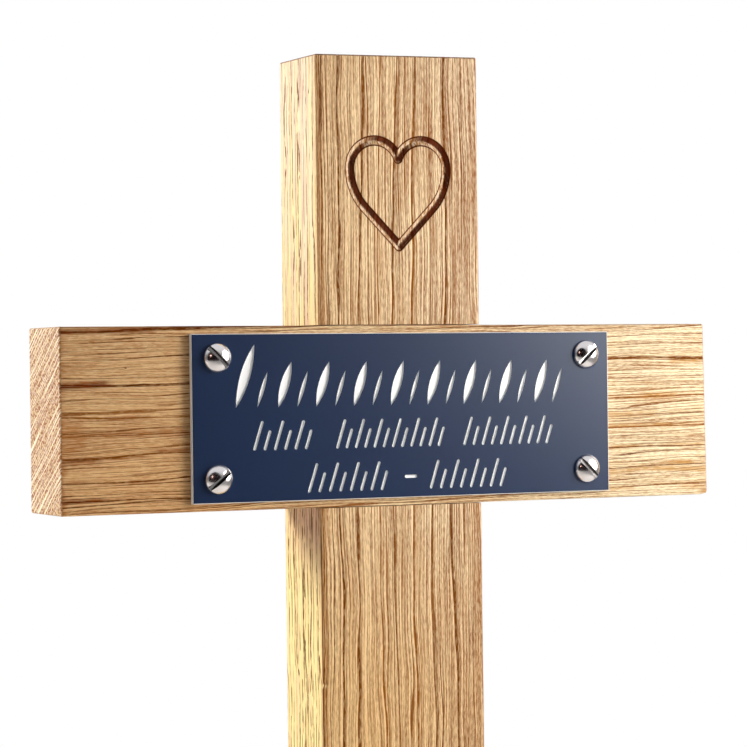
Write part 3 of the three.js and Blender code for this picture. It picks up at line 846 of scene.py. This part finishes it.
for start, stop, first, last, thick, share, red in BAR_STAINS:
    middle = np.interp(along, (start, stop), (first, last))
    past_end = np.maximum(np.maximum(start - along, along - stop), 0)
    streak = share * np.exp(-((from_bottom - middle) / thick) ** 4 - (past_end / 1.5) ** 2)
    streak = np.where(behind < ON_FACE, streak, 0)
    wood["stain_and_painted_shadow"] = np.maximum(wood["stain_and_painted_shadow"], streak)
    wood["browned_and_shaded"] = np.maximum(wood["browned_and_shaded"], red * streak)

bar_oak = oak(
    "planed_oak_of_the_crossbar",
    pale_pair=("edddba", "f4d098"),
    tan_pair=("8c5a2c", "8a4a1e"),
    golden_pair=("b4823c", "b46626"),
)
bar = mesh_object("oak_crossbar", points * MM, quads, bar_oak, **wood)
bar.data.shade_smooth()
bar.data.set_sharp_from_angle(angle=BOARD_CREASE)
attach(bar, "root")
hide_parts("crossbar")


# Plaque: a plate of two-layer engraving laminate, a thin satin navy skin over a white core. Its edges
# are chamfered and rows of strokes are cut through the skin, so the core shows there.
SKIN_DEPTH = 0.11 * MM
SKIN_BLUR = 0.02 * MM
SKIN_NAVIES = ("001b42", "002048")
CORE_WHITE = "fafcff"
HAZE_SIZE = 18 * MM
TOOTH_SIZE = 0.25 * MM
TOOTH_HEIGHT = 0.01 * MM
SKIN_AND_CORE_ROUGHNESS = (0.31, 0.6)

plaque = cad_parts["plaque"]
plaque_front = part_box("plaque")[0].y

# Acrylic engraving laminate, pressed between satin plates: an even navy with a soft wide sheen and a faint
# haze, and a matt white where the cutter has gone through the skin. Its tooth is drawn coarser than real.
laminate, tree = new_material("engraving_laminate")
place = add_node(tree, "TexCoord", output="Object")
depth = add_node(tree, "SeparateXYZ", (place,), output="Y")
core_from = plaque_front + SKIN_DEPTH
core_share = add_node(tree, "MapRange", (depth, core_from, core_from + SKIN_BLUR))
haze = add_node(tree, "TexNoise", {"Vector": place, "Scale": 1 / HAZE_SIZE, "Detail": 3.0})
tooth = add_node(tree, "TexNoise", {"Vector": place, "Scale": 1 / TOOTH_SIZE, "Detail": 2.0})
skin = add_node(tree, "Mix", (haze, *map(linear, SKIN_NAVIES)), data_type="RGBA")
two_layers = add_node(tree, "Mix", (core_share, skin, linear(CORE_WHITE)), data_type="RGBA")
rough = add_node(tree, "MapRange", (core_share, 0.0, 1.0, *SKIN_AND_CORE_ROUGHNESS))
toothed = add_node(tree, "Bump", {"Height": tooth, "Strength": 0.15, "Distance": TOOTH_HEIGHT})
surface = add_node(tree, "BsdfPrincipled", {
    "Base Color": two_layers, "Roughness": rough, "IOR": 1.44,
    "Specular Tint": linear("f8fdff"), "Normal": toothed,
})
add_node(tree, "OutputMaterial", {"Surface": surface})
plaque.data.materials.clear()
plaque.data.materials.append(laminate)


# Screws: four slotted round-head wood screws of polished bright metal, driven through the plaque into
# the crossbar, each stopped with its slot at its own angle.
HEAD_RADIUS = 3.6
HEAD_HEIGHT = 2.3
SHANK_RADIUS = 1.75
SHANK_LENGTH = 16.0
POINT_LENGTH = 3.0
SLOT_WIDTH = 1.2
SLOT_DEPTH = 1.4
HEAD_STEPS = (22, 41)
HEAD_CREASE = math.radians(35)
WELD_REACH = 0.001 * MM
SMEAR_SIZE = 1.8 * MM
HEAD_ROUGHNESS = (0.14, 0.22)
HEAD_GREY = "dfdbdd"
SLOT_SHADE = "2c2a28"
SLOT_ANGLES = {"upper_left": -45, "upper_right": 43.5, "lower_left": 39, "lower_right": -45}


def round_head_screw(steps_across, steps_along):
    """Points, quads and a mark of the slot's corners, where shade is painted, of a screw with its seat at
    height 0. The head is a grid of chords along the slot: a chord at s from the middle is as long as the
    circle there, and its height is an ellipse's, or the slot floor's between two doubled chords. Below, the
    rim runs in to the shank."""
    sweep = np.linspace(0, math.acos(SLOT_WIDTH / 2 / HEAD_RADIUS), steps_across)
    outside = HEAD_RADIUS * np.cos(sweep)
    s = np.concatenate([-outside, [-SLOT_WIDTH / 2, 0, SLOT_WIDTH / 2], outside[::-1]])
    in_slot = np.zeros(len(s), bool)
    in_slot[steps_across:steps_across + 3] = True
    share = np.sin(np.linspace(-np.pi / 2, np.pi / 2, steps_along))
    chord, part = np.meshgrid(s, share, indexing="ij")
    t = part * np.sqrt(np.maximum(HEAD_RADIUS ** 2 - chord ** 2, 0))
    dome = HEAD_HEIGHT * np.sqrt(np.maximum(1 - (chord ** 2 + t ** 2) / HEAD_RADIUS ** 2, 0))
    height = np.where(in_slot[:, None], np.minimum(dome, HEAD_HEIGHT - SLOT_DEPTH), dome)
    top = np.stack([chord, t, height], -1).reshape(-1, 3)
    rim = np.concatenate([
        np.stack([s, t[:, -1]], -1),
        np.stack([s, t[:, 0]], -1)[::-1],
    ])
    rim = np.concatenate([rim, rim[:1]]) / HEAD_RADIUS
    profile = np.array([
        [HEAD_RADIUS, 0],
        [SHANK_RADIUS, 0],
        [SHANK_RADIUS, POINT_LENGTH - SHANK_LENGTH],
        [0, -SHANK_LENGTH],
    ])
    below = np.concatenate([
        profile[:, None, :1] * rim[None],
        np.broadcast_to(profile[:, None, 1:], (len(profile), len(rim), 1)),
    ], -1)
    quads = np.concatenate([
        grid_quads(len(s), steps_along),
        grid_quads(len(profile), len(rim)) + len(top),
    ])
    corner = in_slot & (s != 0)
    mark = np.concatenate([np.repeat(corner, steps_along), np.zeros(below[..., 0].size)])
    return np.concatenate([top, below.reshape(-1, 3)]), quads, mark


# Turned and polished bright metal, such as plated steel: a mirror of the studio, smeared a little by
# # handling, with painted shade darkening the corners of the slot.
bright_metal, tree = new_material("polished_bright_metal")
place = add_node(tree, "TexCoord", output="Object")
in_slot = add_node(tree, "Attribute", output="Fac", attribute_name="slot")
smear = add_node(tree, "TexNoise", {"Vector": place, "Scale": 1 / SMEAR_SIZE, "Detail": 3.0})
polish = add_node(tree, "MapRange", (smear, 0.3, 0.7, *HEAD_ROUGHNESS))
# Painted shade: the slot's corners are tinted dark where shade falls in the slot.
tint = add_node(tree, "Mix", (in_slot, linear(HEAD_GREY), linear(SLOT_SHADE)), data_type="RGBA")
surface = add_node(tree, "BsdfPrincipled", {"Base Color": tint, "Metallic": 1.0, "Roughness": polish})
add_node(tree, "OutputMaterial", {"Surface": surface})

screw_points, screw_quads, slot_shade_mark = round_head_screw(*HEAD_STEPS)
for corner_name, degrees in SLOT_ANGLES.items():
    node_low, node_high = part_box("screw_" + corner_name)
    seat = Vector(((node_low.x + node_high.x) / 2, plaque_front, (node_low.z + node_high.z) / 2))
    cosine, sine = math.cos(math.radians(degrees)), math.sin(math.radians(degrees))
    local = np.array([[-sine, 0, cosine], [cosine, 0, sine], [0, -1, 0]])
    placed = screw_points * MM @ local + np.array(seat)
    piece_name = "round_head_screw_" + corner_name
    screw = mesh_object(piece_name, placed, screw_quads, bright_metal, slot=slot_shade_mark)
    weld = bmesh.new()
    weld.from_mesh(screw.data)
    bmesh.ops.remove_doubles(weld, verts=weld.verts, dist=WELD_REACH)
    bmesh.ops.dissolve_degenerate(weld, dist=WELD_REACH, edges=weld.edges)
    bmesh.ops.recalc_face_normals(weld, faces=weld.faces)
    weld.to_mesh(screw.data)
    weld.free()
    screw.data.shade_smooth()
    screw.data.set_sharp_from_angle(angle=HEAD_CREASE)
    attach(screw, "root")
    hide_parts("screw_" + corner_name)
